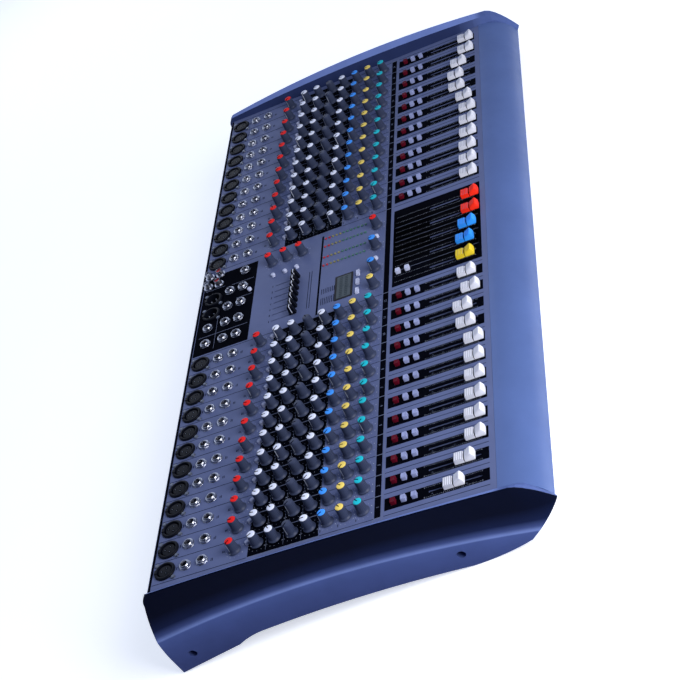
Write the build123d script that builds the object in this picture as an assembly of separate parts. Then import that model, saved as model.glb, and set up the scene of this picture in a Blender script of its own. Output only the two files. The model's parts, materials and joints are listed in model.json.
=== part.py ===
from build123d import *
import os
from math import cos, radians, sin, sqrt

# Twenty-four channel mixing console.
#
# Everything is first drawn in the panel's frame: x runs along the console, y runs from the armrest
# to the connector edge, z is the height above the control panel and (0, 0, 0) is the panel's centre.
# place_on_ground() then tilts the whole console, rear up, onto its rubber feet.

# ---- driving dimensions, mm ----
PITCH = 28.0                         # width of one channel strip
CHANNELS = 24
BANK = 12                            # channels on each side of the middle section
MIDDLE_GAP = 5.6 * PITCH             # extra width that the middle section puts between the banks
SIDE_MARGIN = 0.8 * PITCH            # outermost channel centre to panel edge
PANEL_DEPTH = 357.0
SHEET = 1.5                          # panel and tray sheet steel
GAP = 0.2                            # assembly gap between fixed neighbours
TILT = 5.8                           # panel slope, degrees

# distance of each row behind the panel's rear edge
XLR_ROW = 16.8
JACK_ROWS = (38.9, 57.1)
GAIN_ROW = 92.7
LOW_CUT_ROW = 105.8
LOW_CUT_OFFSET = 4.6                 # low cut buttons stand beside the strip's centre line
EQ_ROW = 116.4
KNOB_STEP = 18.3                     # between the seven equaliser, aux and pan knobs
STRIP_KNOBS = 7
MUTE_ROW = 256.5
ASSIGN_ROWS = (266.9, 277.6)
CAP_STOP_ROW = 340.0                 # fader cap centre at the bottom of its travel

# controls
KNOB_HEIGHT = 15.0
KNOB_SKIRT_R = 6.7
KNOB_TOP_R = 4.6
SHAFT_R = 3.0
RUNNING = 0.05                       # radial clearance of a turning shaft
FADER_TRAVEL = 45.0
FADER_CAP = (10.8, 20.0, 9.5)
FADER_STEM = (1.2, 4.0)
SLOT_WIDTH = 2.4
SQUARE_KEY = (6.2, 5.0, 4.2)      # width, depth, height
DISPLAY_KEY = (9.0, 4.0, 2.4)
HOLE_PLAY = 0.6                      # added to a button's size for its hole in the panel
XLR_R = 11.2
XLR_SCREW = 10.0                     # from the socket's centre, along x and along y
CONTACT_RING_R = 3.6
JACK_BUSHING_R = 4.5
JACK_NUT_R = 5.6

# how far each fader stands above its bottom stop
CHANNEL_FADERS = (23, 12, 1, 1, 0, 0, 0, 0, 8, 11, 2, 6, 1, 1, 1, 0, 0, 0, 4, 13, 14, 10, 0, 0)
MASTER_FADERS = {"main_left": 0, "main_right": 0, "group_one": 4, "group_two": 7, "effects_return": 7}
MASTER_FADER_X = (49.0, 21.0, -5.6, -32.2, -60.2)

# middle section: (x, distance behind the rear edge)
RCA_SOCKETS = [(68.6, 9.8), (68.6, 23.8), (49.8, 9.8), (49.8, 23.8)]
XLR_OUTPUTS = [(21.6, 19.6), (-5.3, 19.6)]
MIDDLE_JACKS = ([(x, 57.1) for x in (59.4, 28.6, -0.4, -29.0, -58.0)]
                + [(x, 40.3) for x in (28.6, -0.4, -29.0, -58.0)]
                + [(x, 18.2) for x in (-30.0, -58.0)])
MASTER_KNOBS = ([(52.4, 93.8 + 19.6 * i) for i in range(3)]
                + [(x, 226.8) for x in (52.4, 12.9, -28.6, -58.8)])
SMALL_BUTTONS = ([(28.0, 96.6 + 15.0 * i) for i in range(3)]
                 + [(31.6, 226.8), (-9.8, 226.8), (16.8, 67.2)])
DISPLAY_BUTTONS = [(x, 205.8) for x in (-25.2, -41.0, -57.4)]
GROUP_BUTTONS = [(-49.0, 254.5), (-49.0, 265.4)]
GRAPHIC_SLIDERS_X = [-57.4 + 10.7 * i for i in range(7)]
GRAPHIC_ROW = 116.0
GRAPHIC_TRAVEL = 25.0
GRAPHIC_LEVER_WIDTH = 5.0
DISPLAY = (-39.8, 188.7, 41.7, 20.2)  # centre x, row, width, depth
METER_X = (12.6, 28.0, 49.0, 64.4)
METER_ROW = 161.0
METER_LEDS = 12
METER_STEP = 4.6

# chassis, as (y, z) in the panel frame
TRAY_BOTTOM = [(-176.7, -46.0), (-120.0, -55.0), (95.0, -68.0), (125.0, -80.0), (176.7, -90.0)]
CHEEK_THICKNESS = 18.0               # at the ridge
CHEEK_FOOT_THICKNESS = 13.5
CHEEK_TOP_APEX = (-25.0, 17.4)       # seen from the side, the top edge is a long arc: (y, z)
CHEEK_TOP_RADIUS = 1900.0
CHEEK_EDGE_APEX = (-60.0, 16.0)      # seen from above it is one too: (y, x from the inner face)
CHEEK_EDGE_RADIUS = 3100.0
CHEEK_EDGE_NOSE = 5.6                # how far out the top edge stands at the nose
CHEEK_EDGE_WIDTH = 0.8
CHEEK_EDGE_FALL = 1.5                # how roundly the top edge runs down the armrest's nose
CHEEK_WALL_RISE = 6.0                # least height of the inner wall beside the armrest
CHEEK_CREASE = (0.5, 0.65)           # crease in the inner wall, as shares of its lean and height
RIDGE_APEX = (-12.0, -28.0)          # the ridge along the outer face is a long arc too
RIDGE_RADIUS = 1040.0
CHEEK_SECTIONS = 22                  # cross-sections that the cheek is drawn through,
NOSE_SECTIONS = 6                    # and those round its nose
CHEEK_CLEAR_Z = 30.0                 # above every part of the cheek
CHEEK_REAR_TOP = (168.0, 7.8)
CHEEK_REAR_ROUND = (179.0, 3.6)
CHEEK_REAR_LIP = (183.0, -6.0)
CHEEK_REAR_BULGE = (190.5, -40.0)
CHEEK_REAR_LOW = (192.0, -75.0)
CHEEK_FRONT_TOP = -192.0             # y where the top edge starts down to the nose
CHEEK_NOSE = (-226.0, -23.5)
CHEEK_CHIN = (-190.3, -54.6)
CHEEK_CHIN_HOLLOW = (-162.0, -62.5)
CHEEK_FRONT_FOOT = (-128.4, -66.6)
CHEEK_BELLY = (-20.0, -65.0)
CHEEK_ARCH_END = (85.0, -72.0)
CHEEK_ARCH_CURVE = (104.0, -75.5)
CHEEK_HEEL_FRONT = (119.4, -82.3)
CHEEK_HEEL = (190.3, -98.8)
CHEEK_SCREWS = [(168.0, -76.0), (-123.9, -48.0)]
CHEEK_SCREW_SINK = 4.0               # depth of screw head seat from the cheek's inner face
FOOT_R = 11.0
FOOT_CLEARANCE = 1.5                 # cheek heel above the ground
FEET_XY = [(x, y) for x in (-380.0, 380.0) for y in (-120.0, 150.0)]
ARMREST_NOSE = (-222.8, -27.0)
ARMREST_CROWN = (-203.0, -4.6)
ARMREST_SOLE = (-216.0, -35.0)
ARMREST_BACK_Z = -45.0
ARMREST_WALL = 2.5

# rear wall
INLET = (300.0, -45.0, 28.0, 22.0)   # x, z, width, height of the mains inlet
ROCKER = (255.0, -45.0, 13.0, 19.0)
ROCKER_PIN = (1.4, -3.0)             # pin radius, and its y from the wall's outer face
VENT_X = range(-340, -130, 30)
VENT_Z = (-30.0, -42.0, -54.0)

# inside
BOARD_THICKNESS = 1.6
BOARD_END_ROOM = 12.0                # from the panel's end to the boards
SOCKET_BOARD = (7.0, 69.0, -19.2)    # rear row, front row, top
CONTROL_BOARD = (81.5, 282.5)        # rear row, front row
FADER_BOARD = (285.5, 351.5)
SUPPLY = (190.0, 148.0, 90.0, 44.0)  # x, y, width, depth of the power supply board
TRANSFORMER = (52.0, 40.0, 36.4)     # width, depth, height
SUPPLY_Z = -68.0

# values worked out from the above
HALF_DEPTH = PANEL_DEPTH / 2
HALF_WIDTH = ((CHANNELS - 1) * PITCH + MIDDLE_GAP) / 2 + SIDE_MARGIN
EQ_ROWS = [EQ_ROW + KNOB_STEP * i for i in range(STRIP_KNOBS)]
KNOB_ROWS = [GAIN_ROW] + EQ_ROWS
KNOB_NAMES = ["gain", "high", "high_mid", "mid_frequency", "low", "aux_one", "aux_two", "pan"]
BOARD_Z = -9.2                       # top of the control board
TRACK_DEPTH = 11.0


def channel_x(channel):
    """Centre line of a channel strip, counted from 0 at the left."""
    extra = MIDDLE_GAP if channel >= BANK else 0.0
    return channel * PITCH + extra - ((CHANNELS - 1) * PITCH + MIDDLE_GAP) / 2


def row_y(row):
    """y of a row given by its distance behind the rear edge."""
    return HALF_DEPTH - row


CHANNEL_X = [channel_x(i) for i in range(CHANNELS)]


def block(width, depth, bottom, top, x=0.0, y=0.0):
    """Upright box with its centre at x, y."""
    box = Box(width, depth, top - bottom)
    return box.moved(Location((x, y, (top + bottom) / 2)))


def rod(radius, bottom, top, x=0.0, y=0.0):
    """Upright cylinder."""
    cylinder = Cylinder(radius, top - bottom)
    return cylinder.moved(Location((x, y, (top + bottom) / 2)))


def turned(points):
    """Solid of revolution about z, from (radius, z) points."""
    face = Plane.XZ * make_face(Polyline(*points, close=True))
    return revolve(face, Axis.Z)


def along_x(points_or_wire, length, start):
    """Extrude a closed (y, z) outline along x from start."""
    outline = points_or_wire
    if isinstance(outline, list):
        outline = Polyline(*outline, close=True)
    face = Plane.YZ.offset(start) * make_face(outline)
    return extrude(face, length)


def spread(solid, places):
    """Copies of a solid at (x, row) places on the panel."""
    return [solid.moved(Location((x, row_y(row), 0))) for x, row in places]


# ---- places of everything that repeats ----
def channel_places(rows):
    return [(x, row) for x in CHANNEL_X for row in rows]


XLR_PLACES = channel_places([XLR_ROW])
JACK_PLACES = channel_places(JACK_ROWS) + MIDDLE_JACKS
CHANNEL_KNOB_PLACES = channel_places(KNOB_ROWS)
LOW_CUT_PLACES = [(x + LOW_CUT_OFFSET, LOW_CUT_ROW) for x in CHANNEL_X]
MUTE_PLACES = channel_places([MUTE_ROW])
ASSIGN_PLACES = channel_places(ASSIGN_ROWS)
METER_PLACES = [(x, METER_ROW + METER_STEP * i) for x in METER_X for i in range(METER_LEDS)]
FADER_X = CHANNEL_X + list(MASTER_FADER_X)
FADER_MID_ROW = CAP_STOP_ROW - FADER_TRAVEL / 2


# ---- panel ----
def round_hole(radius, x, row):
    return Wire.make_circle(radius, Plane((x, row_y(row), 0)))


def square_hole(width, depth, x, row):
    y = row_y(row)
    corners = [(-1, -1), (1, -1), (1, 1), (-1, 1)]
    return Wire.make_polygon([(x + i * width / 2, y + j * depth / 2, 0) for i, j in corners])


def button_holes(size, places):
    width, depth, _ = size
    return [square_hole(width + HOLE_PLAY, depth + HOLE_PLAY, x, row) for x, row in places]


def panel_holes():
    holes = [round_hole(XLR_R - 1.5, x, r) for x, r in XLR_PLACES + XLR_OUTPUTS]
    holes += [round_hole(4.8, x, r) for x, r in JACK_PLACES]
    holes += [round_hole(4.4, x, r) for x, r in RCA_SOCKETS]
    holes += [round_hole(SHAFT_R + 0.6, x, r) for x, r in CHANNEL_KNOB_PLACES + MASTER_KNOBS]
    holes += [round_hole(2.9, x, r) for x, r in LOW_CUT_PLACES + SMALL_BUTTONS]
    holes += button_holes(SQUARE_KEY, MUTE_PLACES + ASSIGN_PLACES + GROUP_BUTTONS)
    holes += button_holes(DISPLAY_KEY, DISPLAY_BUTTONS)
    slot = FADER_TRAVEL + FADER_STEM[1] + 3.0
    holes += [square_hole(SLOT_WIDTH, slot, x, FADER_MID_ROW) for x in FADER_X]
    small_slot = GRAPHIC_TRAVEL + 6.0
    holes += [square_hole(1.6, small_slot, x, GRAPHIC_ROW) for x in GRAPHIC_SLIDERS_X]
    holes += [round_hole(1.6, x, r) for x, r in METER_PLACES]
    x, row, width, depth = DISPLAY
    holes.append(square_hole(width, depth, x, row))
    return holes


def control_panel():
    edge = Wire.make_polygon([(i * HALF_WIDTH, j * HALF_DEPTH, 0)
                              for i, j in [(-1, -1), (1, -1), (1, 1), (-1, 1)]])
    plate = extrude(Face(edge, panel_holes()), -SHEET)
    flange_y = HALF_DEPTH - SHEET / 2
    flanges = [block(2 * HALF_WIDTH, SHEET, -14.0, -SHEET, y=side * flange_y) for side in (-1, 1)]
    return [plate + flanges[0] + flanges[1]]


# ---- chassis ----
def tray_envelope(inset, top):
    """The tray's outside outline, pulled in by the sheet thickness for its inside."""
    (front, front_z), *middle, (rear, rear_z) = TRAY_BOTTOM
    front += inset
    rear -= inset
    floor = [(front, front_z + inset)]
    floor += [(y, z + inset) for y, z in middle]
    floor += [(rear, rear_z + inset)]
    return floor + [(rear, top), (front, top)]


def base_tray():
    outer_half = HALF_WIDTH - GAP
    tray = along_x(tray_envelope(0.0, -SHEET - GAP), 2 * outer_half, -outer_half)
    tray -= along_x(tray_envelope(SHEET, 5.0), 2 * (outer_half - SHEET), SHEET - outer_half)
    rear = HALF_DEPTH
    for x, z, width, height in (INLET, ROCKER):
        tray -= Box(width, 20, height).moved(Location((x, rear, z)))
    for x in VENT_X:
        for z in VENT_Z:
            tray -= Box(20, 20, 3).moved(Location((x, rear, z)))
    for y, z in CHEEK_SCREWS:
        tray -= Cylinder(1.7, 4 * HALF_WIDTH, rotation=(0, 90, 0)).moved(Location((0, y, z)))
    return [tray]


def cheek_outline():
    """Side outline of the cheek, open upward: the cross-sections shape the top edge."""
    above_rear = (CHEEK_REAR_TOP[0], CHEEK_CLEAR_Z)
    above_nose = (CHEEK_NOSE[0], CHEEK_CLEAR_Z)
    rear = [Line(above_rear, CHEEK_REAR_TOP),
            ThreePointArc(CHEEK_REAR_TOP, CHEEK_REAR_ROUND, CHEEK_REAR_LIP),
            ThreePointArc(CHEEK_REAR_LIP, CHEEK_REAR_BULGE, CHEEK_REAR_LOW),
            Line(CHEEK_REAR_LOW, CHEEK_HEEL),
            Line(CHEEK_HEEL, CHEEK_HEEL_FRONT)]
    belly = [ThreePointArc(CHEEK_HEEL_FRONT, CHEEK_ARCH_CURVE, CHEEK_ARCH_END),
             ThreePointArc(CHEEK_ARCH_END, CHEEK_BELLY, CHEEK_FRONT_FOOT),
             ThreePointArc(CHEEK_FRONT_FOOT, CHEEK_CHIN_HOLLOW, CHEEK_CHIN)]
    front = [Line(CHEEK_CHIN, CHEEK_NOSE),
             Line(CHEEK_NOSE, above_nose),
             Line(above_nose, above_rear)]
    return Wire(rear + belly + front)


def arc_height(apex, radius, y):
    """Height at y of a large arc with its highest point at apex."""
    return apex[1] - radius + sqrt(radius ** 2 - (y - apex[0]) ** 2)


def nose_share(y):
    """0 behind the armrest's crown, rising to 1 at the cheek's nose."""
    run = (CHEEK_FRONT_TOP - y) / (CHEEK_FRONT_TOP - CHEEK_NOSE[0])
    return max(run, 0.0) ** CHEEK_EDGE_FALL


def cheek_edge(y):
    """Place (x, z) of the top edge at y: two long arcs, then round and down to the nose."""
    station = max(y, CHEEK_FRONT_TOP)
    x = arc_height(CHEEK_EDGE_APEX, CHEEK_EDGE_RADIUS, station)
    z = arc_height(CHEEK_TOP_APEX, CHEEK_TOP_RADIUS, station)
    share = nose_share(y)
    return x + share * (CHEEK_EDGE_NOSE - x), z + share * (CHEEK_NOSE[1] - z)


def cheek_section(y):
    """Cross-section at y: creased inner wall, thin top edge, bevel to the ridge, sloping foot."""
    x, top = cheek_edge(y)
    ridge = arc_height(RIDGE_APEX, RIDGE_RADIUS, y)
    foot = ridge - 95.0
    wall = min(top - CHEEK_WALL_RISE, 0.0)
    lean, height = CHEEK_CREASE
    points = [(0.0, foot), (CHEEK_FOOT_THICKNESS, foot), (CHEEK_THICKNESS, ridge),
              (x + CHEEK_EDGE_WIDTH, top - CHEEK_EDGE_WIDTH), (x, top),
              (lean * x, wall + height * (top - wall)), (0.0, wall)]
    return Plane.XZ.offset(-y) * make_face(Polyline(*points, close=True))


def cheek_stations():
    """Where the cross-sections stand, from the nose to past the rear."""
    nose = CHEEK_NOSE[0] - 0.5
    rear = CHEEK_REAR_LOW[0] + 1.0
    nose_step = (CHEEK_FRONT_TOP - nose) / NOSE_SECTIONS
    step = (rear - CHEEK_FRONT_TOP) / (CHEEK_SECTIONS - 1)
    return ([nose + nose_step * i for i in range(NOSE_SECTIONS)]
            + [CHEEK_FRONT_TOP + step * i for i in range(CHEEK_SECTIONS)])


def right_cheek():
    """Right cheek with its inner face at x = 0."""
    sections = [cheek_section(y) for y in cheek_stations()]
    cheek = loft(sections, ruled=True) & along_x(cheek_outline(), CHEEK_THICKNESS + 2, -1)
    seat = 40.0
    for y, z in CHEEK_SCREWS:
        cheek -= Cylinder(1.7, seat, rotation=(0, 90, 0)).moved(Location((0, y, z)))
        cheek -= Cylinder(4.5, seat, rotation=(0, 90, 0)).moved(
            Location((CHEEK_SCREW_SINK + seat / 2, y, z)))
    return cheek


def end_cheek(side):
    """side is 1 for the right cheek and -1 for its mirror image on the left."""
    cheek = right_cheek().moved(Location((HALF_WIDTH + GAP, 0, 0)))
    return [cheek if side > 0 else mirror(cheek, Plane.YZ)]


def armrest_outline(inset):
    """Outline of the armrest, or of its hollow when inset by the wall thickness."""
    back = -HALF_DEPTH - GAP - inset
    nose = (ARMREST_NOSE[0] + inset, ARMREST_NOSE[1])
    crown = (ARMREST_CROWN[0] + 0.3 * inset, ARMREST_CROWN[1] - inset)  # moves mostly down
    sole = (ARMREST_SOLE[0] + inset, ARMREST_SOLE[1] + inset)
    top_corner = (back, -inset)
    back_corner = (back, ARMREST_BACK_Z + inset)
    return Wire([ThreePointArc(top_corner, crown, nose),
                 Line(nose, sole),
                 Line(sole, back_corner),
                 Line(back_corner, top_corner)])


def armrest():
    half = HALF_WIDTH
    bar = along_x(armrest_outline(0.0), 2 * half, -half)
    bar -= along_x(armrest_outline(ARMREST_WALL), 2 * half + 2, -half - 1)
    return [bar]


# ---- sockets ----
def contact_places():
    """The three contacts of a microphone plug, evenly round its centre."""
    angles = [radians(a) for a in (90, 210, 330)]
    return [(CONTACT_RING_R * cos(a), CONTACT_RING_R * sin(a)) for a in angles]


def xlr_input():
    body = turned([(0, -18), (9.4, -18), (9.4, 0), (XLR_R, 0), (XLR_R, 1.8), (9.6, 2.4), (8.2, 2.4),
                   (8.2, -4), (7.2, -4), (7.2, 1.2), (0, 1.2)])
    for x, y in contact_places():
        body -= rod(1.3, -7.0, 3.0, x, y)
    return body


def xlr_output():
    body = turned([(0, -18), (9.4, -18), (9.4, 0), (XLR_R, 0), (XLR_R, 1.8), (9.6, 2.4), (8.4, 2.4),
                   (8.4, -12), (0, -12)])
    for x, y in contact_places():
        body += rod(1.2, -12.0, -1.0, x, y)
    return body


def jack_socket():
    bore = 3.3
    bushing = turned([(bore, -6), (JACK_BUSHING_R, -6), (JACK_BUSHING_R, 3.6), (bore, 3.6)])
    body = block(12.0, 12.0, -19.0, -SHEET - 0.1) - rod(bore, -20, 0)
    return bushing + body


def jack_nut():
    bore = JACK_BUSHING_R + RUNNING
    return turned([(bore, 0.05), (JACK_NUT_R, 0.05), (JACK_NUT_R, 2.0), (JACK_NUT_R - 0.6, 2.6),
                   (bore, 2.6)])


def rca_socket():
    return turned([(0, -10), (4.2, -10), (4.2, 0.05), (6.2, 0.05), (6.2, 1.2), (4.1, 1.6),
                   (4.1, 8.0), (3.4, 8.0), (3.4, -2.0), (1.6, -2.0), (1.6, 1.0), (0, 1.0)])


# ---- knobs, buttons and what carries them ----
def knob():
    """Skirted knob with its shaft, which turns in the potentiometer below the panel."""
    profile = [(0, -7.0), (SHAFT_R, -7.0), (SHAFT_R, 0.8), (KNOB_SKIRT_R, 0.8), (KNOB_SKIRT_R, 1.7),
               (5.6, 2.4), (5.3, 3.6), (KNOB_TOP_R, 14.2), (KNOB_TOP_R - 0.8, KNOB_HEIGHT),
               (0, KNOB_HEIGHT)]
    return turned(profile)


def potentiometer():
    return turned([(SHAFT_R + RUNNING, -7.4), (SHAFT_R + RUNNING, -2.0), (6.0, -2.0), (6.0, BOARD_Z),
                   (0, BOARD_Z), (0, -7.4)])


def round_button():
    return turned([(0, -5.0), (3.4, -5.0), (3.4, -3.8), (2.6, -3.8), (2.6, 2.8), (2.1, 3.3), (0, 3.3)])


def square_button(size):
    width, depth, height = size
    stem = block(width, depth, -4.0, height)
    collar = block(width + 1.6, depth + 1.6, -5.0, -3.8)
    return chamfer(stem.edges().group_by(Axis.Z)[-1], 0.6) + collar


def switch_body():
    return block(6.0, 6.0, BOARD_Z, -7.2)


def fader_cap():
    """Cap with a raised front hump, a valley across it and a lever reaching into the track."""
    width, length, height = FADER_CAP
    half = length / 2
    side = [(-half, 1.2), (half, 1.2), (half, 5.4), (half - 0.8, 6.4), (0.9, 6.2), (0.0, 4.6),
            (-1.0, 6.2), (-6.8, height), (-7.8, height), (-half, 5.2)]
    cap = along_x(side, width, -width / 2)
    lever = block(FADER_STEM[0], FADER_STEM[1], -7.0, 2.0)
    return cap + lever


def fader_track():
    """Slotted channel under the panel that the lever runs in."""
    length = FADER_TRAVEL + 20.0
    track = block(9.0, length, -TRACK_DEPTH, -SHEET - 0.3)
    track -= block(6.0, length - 6.0, -TRACK_DEPTH + 1.5, -3.0)
    return track - block(2.0, FADER_TRAVEL + 8.0, -5.0, 0.0)


def graphic_slider():
    lever = block(0.9, 3.0, -6.5, 5.0)
    side = [(-4.2, 1.0), (4.2, 1.0), (2.6, 12.0), (-2.6, 12.0)]
    return lever + along_x(side, GRAPHIC_LEVER_WIDTH, -GRAPHIC_LEVER_WIDTH / 2)


def graphic_track():
    length = GRAPHIC_TRAVEL + 14.0
    track = block(7.0, length, BOARD_Z, -SHEET - 0.3)
    return track - block(2.0, GRAPHIC_TRAVEL + 8.0, BOARD_Z + 1.2, 0.0)


def rotary_knobs():
    places = [p for p in CHANNEL_KNOB_PLACES if p[0] != CHANNEL_X[0]]
    return spread(knob(), places + MASTER_KNOBS)


def control_modules():
    pots = spread(potentiometer(), CHANNEL_KNOB_PLACES + MASTER_KNOBS)
    buttons = LOW_CUT_PLACES + MUTE_PLACES + ASSIGN_PLACES + SMALL_BUTTONS
    switches = spread(switch_body(), buttons + DISPLAY_BUTTONS + GROUP_BUTTONS)
    tracks = spread(fader_track(), [(x, FADER_MID_ROW) for x in FADER_X])
    small_tracks = spread(graphic_track(), [(x, GRAPHIC_ROW) for x in GRAPHIC_SLIDERS_X])
    return pots + switches + tracks + small_tracks


def board(rear_row, front_row, top):
    """Circuit board between two rows, nearly as long as the panel."""
    width = 2 * (HALF_WIDTH - BOARD_END_ROOM)
    middle = (rear_row + front_row) / 2
    return block(width, front_row - rear_row, top - BOARD_THICKNESS, top, y=row_y(middle))


def power_supply():
    x, y, width, depth = SUPPLY
    core_width, core_depth, core_height = TRANSFORMER
    top = SUPPLY_Z + BOARD_THICKNESS
    card = block(width, depth, SUPPLY_Z, top, x, y)
    return card + block(core_width, core_depth, top, top + core_height, x, y)


def circuit_boards():
    rear_row, front_row, top = SOCKET_BOARD
    return [board(rear_row, front_row, top),
            board(*CONTROL_BOARD, BOARD_Z - GAP),
            board(*FADER_BOARD, -TRACK_DEPTH - GAP),
            power_supply()]


def display_module():
    x, row, width, depth = DISPLAY
    glass = block(width - 0.4, depth - 0.4, -SHEET - 0.2, -0.3, x, row_y(row))
    frame = block(width + 4.0, depth + 2.0, -7.0, -SHEET - 0.2, x, row_y(row))
    leds = spread(rod(1.5, -5.0, 0.3), METER_PLACES)
    return [glass + frame] + leds


# ---- fasteners, feet and mains ----
def screws():
    head = turned([(0, 0.05), (2.6, 0.05), (2.4, 1.0), (1.2, 1.6), (0, 1.6)])
    places = [(x + side * XLR_SCREW, row - side * XLR_SCREW)
              for x, row in XLR_PLACES + XLR_OUTPUTS for side in (-1, 1)]
    heads = spread(head, places)
    side_screw = turned([(0, -12.0), (1.5, -12.0), (1.5, 0.1), (3.4, 0.1), (3.4, 1.6), (2.4, 2.4),
                         (0, 2.4)])
    seat_x = HALF_WIDTH + GAP + CHEEK_SCREW_SINK
    for side in (-1, 1):
        for y, z in CHEEK_SCREWS:
            heads.append(side_screw.moved(Location((side * seat_x, y, z), (0, side * 90, 0))))
    return heads


def mains_inlet():
    x, z, width, height = INLET
    wall = TRAY_BOTTOM[-1][0]
    body = Box(width - 0.6, 26, height - 0.6).moved(Location((x, wall - 12.0, z)))
    flange = Box(width + 20, 2, height + 4).moved(Location((x, wall + 1.1, z)))
    opening = Box(22.5, 16, 15.5).moved(Location((x, wall - 4, z)))
    pins = [Box(2, 12, 4).moved(Location((x + dx, wall - 9, z + dz)))
            for dx, dz in ((-6.5, -1.5), (0, 2.5), (6.5, -1.5))]
    inlet = body + flange - opening
    for pin in pins:
        inlet += pin
    return [inlet]


def power_rocker():
    """Rocker switch: it turns on a pin along x, just inside the rear wall."""
    x, z, width, height = ROCKER
    pin_radius, pin_y = ROCKER_PIN
    wall = TRAY_BOTTOM[-1][0]
    half = height / 2 - 2.4
    side = [(wall - 3.0, z - half + 2), (wall + 2.6, z - half), (wall + 1.0, z),
            (wall + 2.6, z + half), (wall - 3.0, z + half - 2)]
    rocker = along_x(side, width - 2.0, x - width / 2 + 1.0)
    pin = Cylinder(pin_radius, width + 2.0, rotation=(0, 90, 0))
    return [rocker + pin.moved(Location((x, wall + pin_y, z)))]


def rubber_feet():
    """Feet stand square on the ground, so their tops are cut to the tray's sloping underside."""
    tray = place_on_ground(along_x(tray_envelope(0.0, 40.0), 2 * HALF_WIDTH, -HALF_WIDTH))
    feet = []
    for x, y in FEET_XY:
        foot = Cone(FOOT_R - 1.5, FOOT_R, 30.0).moved(Location((x, ground_y(y), 15.0)))
        feet.append(foot - tray)
    return feet


# ---- standing the console on the ground ----
def ground_drop():
    """Height of the panel's centre above the ground."""
    y, z = CHEEK_HEEL
    return FOOT_CLEARANCE - (y * sin(radians(TILT)) + z * cos(radians(TILT)))


def ground_y(y):
    return y * cos(radians(TILT)) + Y_SHIFT


Y_SHIFT = 10.4                       # puts the origin under the middle of the footprint
GROUND = Location((0, Y_SHIFT, ground_drop()), (TILT, 0, 0))


def place_on_ground(shape):
    return GROUND * shape


def save(node, solids, placed=False):
    """Write a node's solids, standing on the ground, to its own file."""
    pieces = [piece for shape in solids for piece in shape.solids()]
    if not placed:
        pieces = [place_on_ground(piece) for piece in pieces]
    group = Compound(pieces) if len(pieces) > 1 else pieces[0]
    export_step(group, f"parts/{node}.step")


def save_faders():
    cap = fader_cap()
    for channel, lift in enumerate(CHANNEL_FADERS):
        place = (CHANNEL_X[channel], CAP_STOP_ROW - lift)
        save(f"fader_{channel + 1:02d}", spread(cap, [place]))
    for (name, lift), x in zip(MASTER_FADERS.items(), MASTER_FADER_X):
        save(f"fader_{name}", spread(cap, [(x, CAP_STOP_ROW - lift)]))


def save_first_channel_knobs():
    for name, row in zip(KNOB_NAMES, KNOB_ROWS):
        save(f"knob_{name}", spread(knob(), [(CHANNEL_X[0], row)]))


def save_buttons():
    square = square_button(SQUARE_KEY)
    save("low_cut_buttons", spread(round_button(), LOW_CUT_PLACES))
    save("mute_buttons", spread(square, MUTE_PLACES))
    save("assign_buttons", spread(square, ASSIGN_PLACES))
    groups = spread(square, GROUP_BUTTONS)
    keys = spread(square_button(DISPLAY_KEY), DISPLAY_BUTTONS)
    save("master_buttons", spread(round_button(), SMALL_BUTTONS) + groups + keys)


def main():
    os.makedirs("parts", exist_ok=True)
    save("control_panel", control_panel())
    save("base_tray", base_tray())
    save("left_end_cheek", end_cheek(-1))
    save("right_end_cheek", end_cheek(1))
    save("armrest", armrest())
    save("xlr_input_sockets", spread(xlr_input(), XLR_PLACES))
    save("xlr_output_sockets", spread(xlr_output(), XLR_OUTPUTS))
    save("jack_sockets", spread(jack_socket(), JACK_PLACES))
    save("jack_nuts", spread(jack_nut(), JACK_PLACES))
    save("rca_sockets", spread(rca_socket(), RCA_SOCKETS))
    save("rotary_knobs", rotary_knobs())
    save("control_modules", control_modules())
    save("circuit_boards", circuit_boards())
    save("display_module", display_module())
    save("screws", screws())
    save("mains_inlet", mains_inlet())
    save("power_rocker", power_rocker())
    save("rubber_feet", rubber_feet(), placed=True)
    slider_row = GRAPHIC_ROW + GRAPHIC_TRAVEL / 2
    save("graphic_sliders", spread(graphic_slider(), [(x, slider_row) for x in GRAPHIC_SLIDERS_X]))
    save_faders()
    save_first_channel_knobs()
    save_buttons()


main()
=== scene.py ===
import json
import math
import random
import bmesh
import bpy
from mathutils import Matrix, Vector


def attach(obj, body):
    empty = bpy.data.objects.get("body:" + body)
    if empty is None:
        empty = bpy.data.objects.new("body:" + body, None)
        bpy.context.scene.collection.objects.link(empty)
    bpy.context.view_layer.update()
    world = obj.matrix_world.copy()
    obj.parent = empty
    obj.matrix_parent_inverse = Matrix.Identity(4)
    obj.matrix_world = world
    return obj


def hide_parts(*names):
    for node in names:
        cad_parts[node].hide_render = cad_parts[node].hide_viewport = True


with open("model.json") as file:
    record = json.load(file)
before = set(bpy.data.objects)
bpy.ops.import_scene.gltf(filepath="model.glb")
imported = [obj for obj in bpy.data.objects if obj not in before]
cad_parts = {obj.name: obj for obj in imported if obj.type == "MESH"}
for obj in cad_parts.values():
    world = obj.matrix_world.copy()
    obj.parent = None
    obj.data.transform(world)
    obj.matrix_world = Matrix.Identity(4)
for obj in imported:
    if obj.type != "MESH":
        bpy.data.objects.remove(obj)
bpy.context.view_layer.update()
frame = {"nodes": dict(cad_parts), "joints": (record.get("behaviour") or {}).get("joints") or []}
random.seed(24)

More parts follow.
